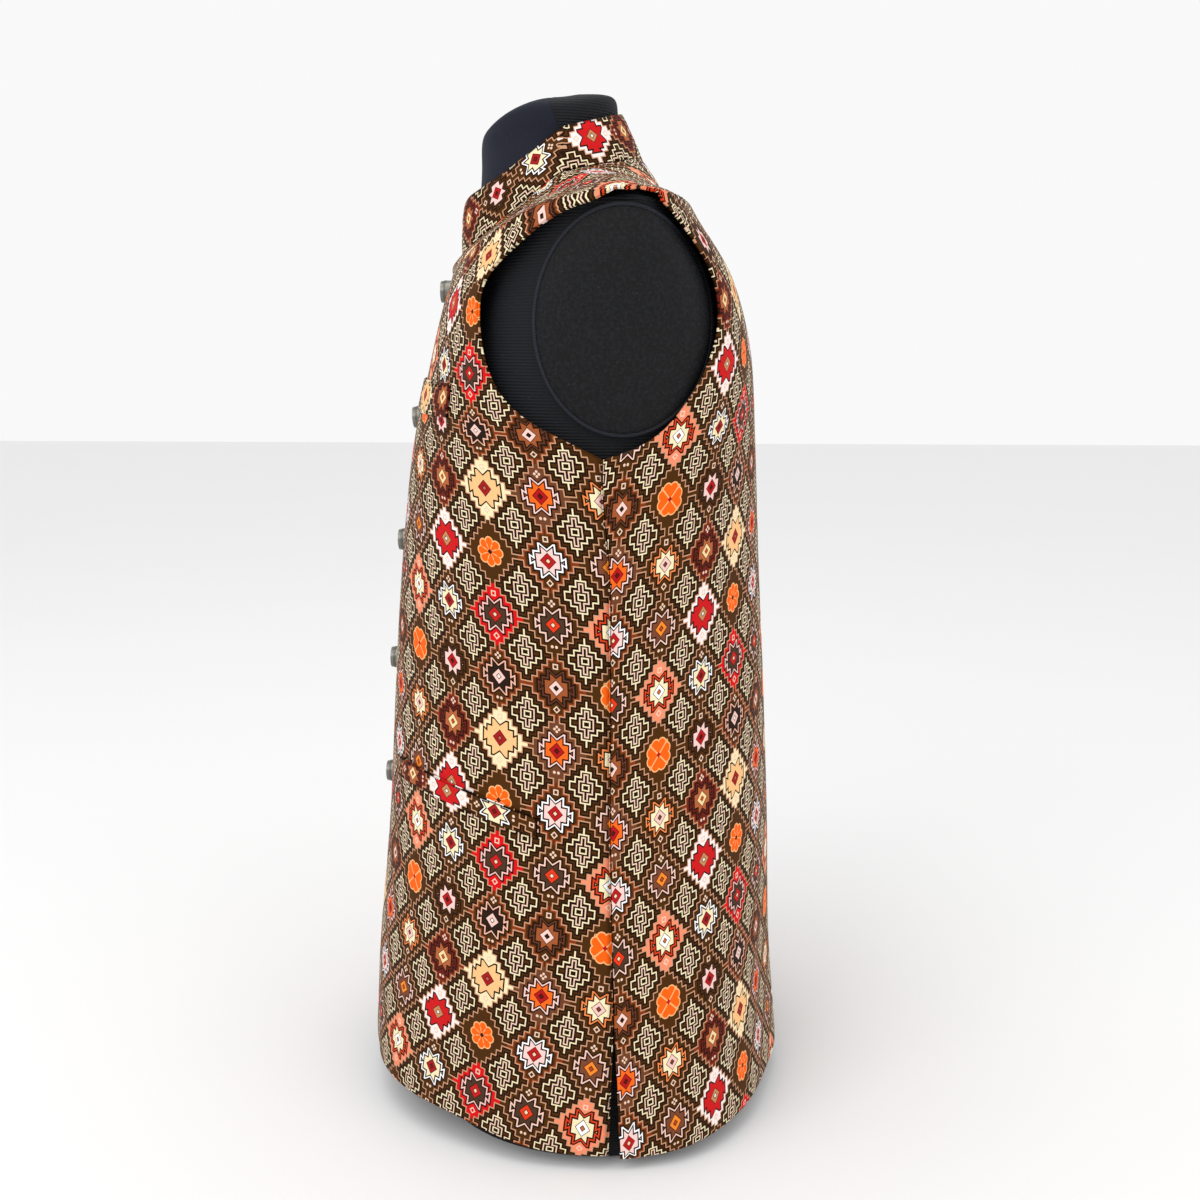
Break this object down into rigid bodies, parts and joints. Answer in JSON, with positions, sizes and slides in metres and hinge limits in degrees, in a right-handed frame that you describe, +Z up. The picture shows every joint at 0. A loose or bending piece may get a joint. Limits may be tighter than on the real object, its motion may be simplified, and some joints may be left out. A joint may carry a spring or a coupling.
{
  "type": "nehru jacket on a dress form",
  "caption": "Sleeveless nehru jacket with a standing collar, welt pockets and side vents, printed all over with a carpet lattice, buttoned on a limbless black dress form.",
  "frame": {"origin": "middle of the overall box at the flat underside of the form's base", "axes": "+Z up, along the form's neck; the jacket's front faces -Y; the wearer's left is +X"},
  "size_m": [0.3913, 0.33, 0.768],
  "materials": {
    "printed_cloth": "light woven cloth with a fine sheen, printed with a brown, red, orange and cream lattice of diamonds and stars",
    "black_jersey": "matte black knitted jersey with fine ribs",
    "button_metal": "aged metal, half polished, with a worn bright rim"
  },
  "bodies": {
    "root": {"dress_form": "black_jersey", "arm_plate_left": "black_jersey", "arm_plate_right": "black_jersey", "front_left": "printed_cloth", "front_right": "printed_cloth", "back": "printed_cloth", "collar": "printed_cloth", "chest_welt": "printed_cloth", "hip_welt_left": "printed_cloth", "hip_welt_right": "printed_cloth", "button_1": "button_metal", "button_2": "button_metal", "button_3": "button_metal", "button_4": "button_metal", "button_5": "button_metal"}
  },
  "joints": []
}
